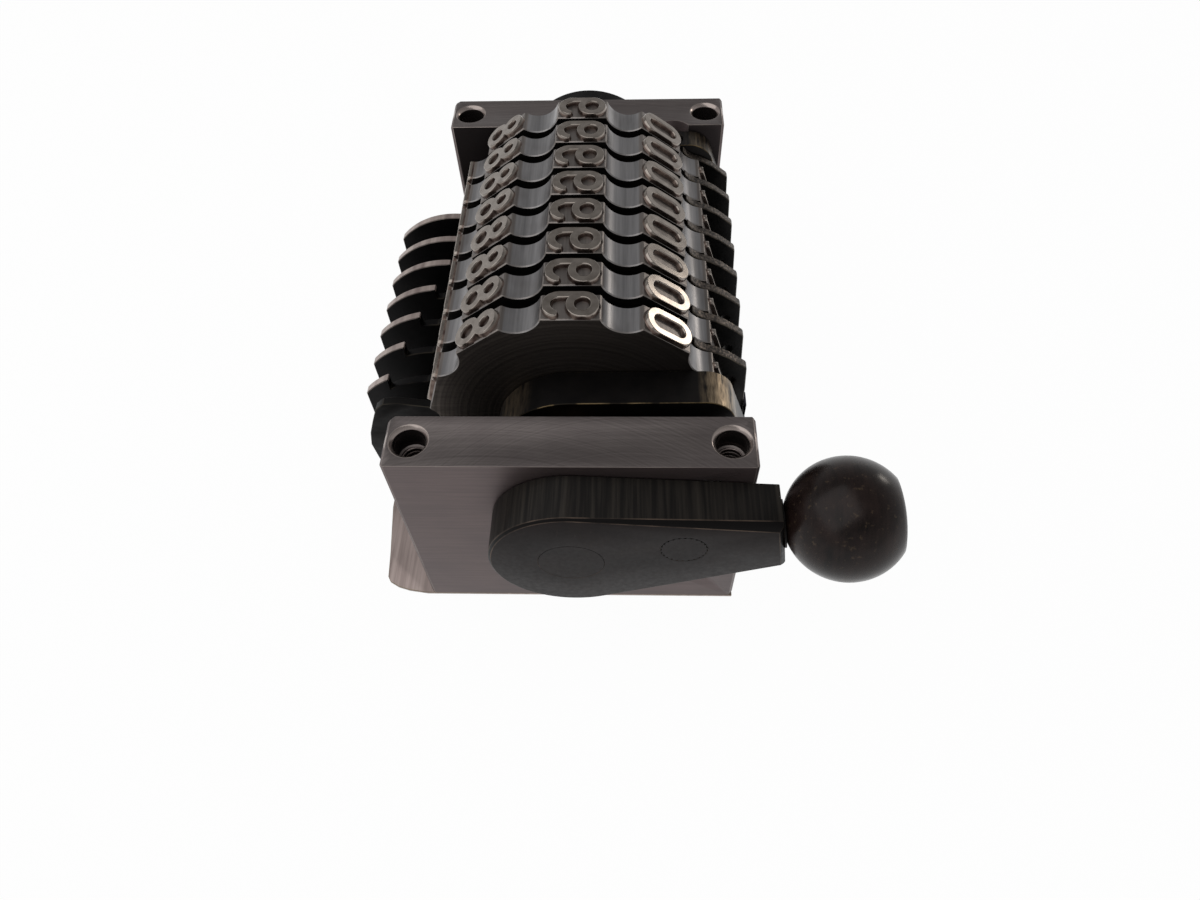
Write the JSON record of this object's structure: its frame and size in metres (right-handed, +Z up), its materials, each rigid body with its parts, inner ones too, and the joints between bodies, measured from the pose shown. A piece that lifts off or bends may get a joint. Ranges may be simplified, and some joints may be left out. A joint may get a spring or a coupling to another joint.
{
  "type": "numbering machine",
  "caption": "Steel numbering head: a row of turning type wheels between two end plates, with ratchet pawls, holding fingers and a ball-ended hand lever.",
  "frame": {"origin": "middle of the flat resting face under the two end plates, straight below the shaft and halfway between the plates' outer faces", "axes": "+Z up from the resting face to the wheels' top, +Y along the shaft from the lever to the disc at the back, +X towards the lever's ball"},
  "size_m": [0.0621, 0.0757, 0.0361],
  "materials": {
    "plate": "ground steel with fine tool marks, satin",
    "sheet": "bright rolled sheet, light scratches",
    "bar": "drawn steel, satin",
    "spring": "blued spring steel",
    "bush": "turned bearing bronze",
    "lever": "black oxide on steel, ground, rubbed bright at the edges",
    "shaft": "black oxide on steel, satin",
    "ball": "black oxide on steel, oiled and glossy, mottled brown",
    "stud": "black oxide on steel",
    "arm": "black oxide on steel, worn bright at the rounded end",
    "disc": "black oxide on steel",
    "wheel": "ground steel pads with dark oxide on the sides",
    "finger": "black oxide on steel, polished along the back",
    "pawl": "black oxide on steel, filed and rubbed along the top edge"
  },
  "bodies": {
    "frame": {"front_plate": "plate", "back_plate": "plate", "base_sheet": "sheet", "base_rivets": "sheet", "tie_bars": "bar", "finger_rod": "bar", "finger_spring": "spring", "spring_rivets": "sheet", "front_bush": "bush", "back_bush": "bush", "thrust_washer": "bar", "return_spring": "spring"},
    "swing": {"lever": "lever", "shaft": "shaft", "stop_pin": "shaft", "ball_knob": "ball", "knob_stud": "stud", "front_arm": "arm", "back_arm": "arm", "arm_keys": "bar", "pawl_rod": "bar", "pawl_spring": "spring", "pawl_spring_screws": "bar", "back_disc": "disc", "disc_screw": "bar"},
    "wheel_1": {"wheel_1": "wheel"},
    "wheel_2": {"wheel_2": "wheel"},
    "wheel_3": {"wheel_3": "wheel"},
    "wheel_4": {"wheel_4": "wheel"},
    "wheel_5": {"wheel_5": "wheel"},
    "wheel_6": {"wheel_6": "wheel"},
    "wheel_7": {"wheel_7": "wheel"},
    "wheel_8": {"wheel_8": "wheel"},
    "finger_1": {"finger_1": "finger"},
    "finger_2": {"finger_2": "finger"},
    "finger_3": {"finger_3": "finger"},
    "finger_4": {"finger_4": "finger"},
    "finger_5": {"finger_5": "finger"},
    "finger_6": {"finger_6": "finger"},
    "finger_7": {"finger_7": "finger"},
    "finger_8": {"finger_8": "finger"},
    "pawl_1": {"pawl_1": "pawl"},
    "pawl_2": {"pawl_2": "pawl"},
    "pawl_3": {"pawl_3": "pawl"},
    "pawl_4": {"pawl_4": "pawl"},
    "pawl_5": {"pawl_5": "pawl"},
    "pawl_6": {"pawl_6": "pawl"},
    "pawl_7": {"pawl_7": "pawl"},
    "pawl_8": {"pawl_8": "pawl"}
  },
  "joints": [
    {"name": "lever_swing", "type": "hinge", "parent": "frame", "child": "swing", "pos_m": [0, 0, 0.019], "axis": [0, 1, 0], "range_deg": [0, 36], "stiffness_Nm_per_rad": 0.02, "springref_deg": -28.65, "deforming": ["return_spring"]},
    {"name": "wheel_1_turn", "type": "hinge", "parent": "frame", "child": "wheel_1", "pos_m": [0, 0, 0.019], "axis": [0, 1, 0], "continuous": true},
    {"name": "wheel_2_turn", "type": "hinge", "parent": "frame", "child": "wheel_2", "pos_m": [0, 0, 0.019], "axis": [0, 1, 0], "continuous": true},
    {"name": "wheel_3_turn", "type": "hinge", "parent": "frame", "child": "wheel_3", "pos_m": [0, 0, 0.019], "axis": [0, 1, 0], "continuous": true},
    {"name": "wheel_4_turn", "type": "hinge", "parent": "frame", "child": "wheel_4", "pos_m": [0, 0, 0.019], "axis": [0, 1, 0], "continuous": true},
    {"name": "wheel_5_turn", "type": "hinge", "parent": "frame", "child": "wheel_5", "pos_m": [0, 0, 0.019], "axis": [0, 1, 0], "continuous": true},
    {"name": "wheel_6_turn", "type": "hinge", "parent": "frame", "child": "wheel_6", "pos_m": [0, 0, 0.019], "axis": [0, 1, 0], "continuous": true},
    {"name": "wheel_7_turn", "type": "hinge", "parent": "frame", "child": "wheel_7", "pos_m": [0, 0, 0.019], "axis": [0, 1, 0], "continuous": true},
    {"name": "wheel_8_turn", "type": "hinge", "parent": "frame", "child": "wheel_8", "pos_m": [0, 0, 0.019], "axis": [0, 1, 0], "continuous": true},
    {"name": "finger_1_lift", "type": "hinge", "parent": "frame", "child": "finger_1", "pos_m": [-0.0168, 0, 0.0076], "axis": [0, 1, 0], "range_deg": [-4.5, 0], "stiffness_Nm_per_rad": 0.002, "springref_deg": 20.05, "deforming": ["finger_spring"]},
    {"name": "finger_2_lift", "type": "hinge", "parent": "frame", "child": "finger_2", "pos_m": [-0.0168, 0, 0.0076], "axis": [0, 1, 0], "range_deg": [-4.5, 0], "stiffness_Nm_per_rad": 0.002, "springref_deg": 20.05, "deforming": ["finger_spring"]},
    {"name": "finger_3_lift", "type": "hinge", "parent": "frame", "child": "finger_3", "pos_m": [-0.0168, 0, 0.0076], "axis": [0, 1, 0], "range_deg": [-4.5, 0], "stiffness_Nm_per_rad": 0.002, "springref_deg": 20.05, "deforming": ["finger_spring"]},
    {"name": "finger_4_lift", "type": "hinge", "parent": "frame", "child": "finger_4", "pos_m": [-0.0168, 0, 0.0076], "axis": [0, 1, 0], "range_deg": [-4.5, 0], "stiffness_Nm_per_rad": 0.002, "springref_deg": 20.05, "deforming": ["finger_spring"]},
    {"name": "finger_5_lift", "type": "hinge", "parent": "frame", "child": "finger_5", "pos_m": [-0.0168, 0, 0.0076], "axis": [0, 1, 0], "range_deg": [-4.5, 0], "stiffness_Nm_per_rad": 0.002, "springref_deg": 20.05, "deforming": ["finger_spring"]},
    {"name": "finger_6_lift", "type": "hinge", "parent": "frame", "child": "finger_6", "pos_m": [-0.0168, 0, 0.0076], "axis": [0, 1, 0], "range_deg": [-4.5, 0], "stiffness_Nm_per_rad": 0.002, "springref_deg": 20.05, "deforming": ["finger_spring"]},
    {"name": "finger_7_lift", "type": "hinge", "parent": "frame", "child": "finger_7", "pos_m": [-0.0168, 0, 0.0076], "axis": [0, 1, 0], "range_deg": [-4.5, 0], "stiffness_Nm_per_rad": 0.002, "springref_deg": 20.05, "deforming": ["finger_spring"]},
    {"name": "finger_8_lift", "type": "hinge", "parent": "frame", "child": "finger_8", "pos_m": [-0.0168, 0, 0.0076], "axis": [0, 1, 0], "range_deg": [-4.5, 0], "stiffness_Nm_per_rad": 0.002, "springref_deg": 20.05, "deforming": ["finger_spring"]},
    {"name": "pawl_1_lift", "type": "hinge", "parent": "swing", "child": "pawl_1", "pos_m": [0.0182, 0, 0.0124], "axis": [0, 1, 0], "range_deg": [0, 6], "stiffness_Nm_per_rad": 0.001, "springref_deg": -20.05, "deforming": ["pawl_spring"]},
    {"name": "pawl_2_lift", "type": "hinge", "parent": "swing", "child": "pawl_2", "pos_m": [0.0182, 0, 0.0124], "axis": [0, 1, 0], "range_deg": [0, 6], "stiffness_Nm_per_rad": 0.001, "springref_deg": -20.05, "deforming": ["pawl_spring"]},
    {"name": "pawl_3_lift", "type": "hinge", "parent": "swing", "child": "pawl_3", "pos_m": [0.0182, 0, 0.0124], "axis": [0, 1, 0], "range_deg": [0, 6], "stiffness_Nm_per_rad": 0.001, "springref_deg": -20.05, "deforming": ["pawl_spring"]},
    {"name": "pawl_4_lift", "type": "hinge", "parent": "swing", "child": "pawl_4", "pos_m": [0.0182, 0, 0.0124], "axis": [0, 1, 0], "range_deg": [0, 6], "stiffness_Nm_per_rad": 0.001, "springref_deg": -20.05, "deforming": ["pawl_spring"]},
    {"name": "pawl_5_lift", "type": "hinge", "parent": "swing", "child": "pawl_5", "pos_m": [0.0182, 0, 0.0124], "axis": [0, 1, 0], "range_deg": [0, 6], "stiffness_Nm_per_rad": 0.001, "springref_deg": -20.05, "deforming": ["pawl_spring"]},
    {"name": "pawl_6_lift", "type": "hinge", "parent": "swing", "child": "pawl_6", "pos_m": [0.0182, 0, 0.0124], "axis": [0, 1, 0], "range_deg": [0, 6], "stiffness_Nm_per_rad": 0.001, "springref_deg": -20.05, "deforming": ["pawl_spring"]},
    {"name": "pawl_7_lift", "type": "hinge", "parent": "swing", "child": "pawl_7", "pos_m": [0.0182, 0, 0.0124], "axis": [0, 1, 0], "range_deg": [0, 6], "stiffness_Nm_per_rad": 0.001, "springref_deg": -20.05, "deforming": ["pawl_spring"]},
    {"name": "pawl_8_lift", "type": "hinge", "parent": "swing", "child": "pawl_8", "pos_m": [0.0182, 0, 0.0124], "axis": [0, 1, 0], "range_deg": [0, 6], "stiffness_Nm_per_rad": 0.001, "springref_deg": -20.05, "deforming": ["pawl_spring"]}
  ]
}
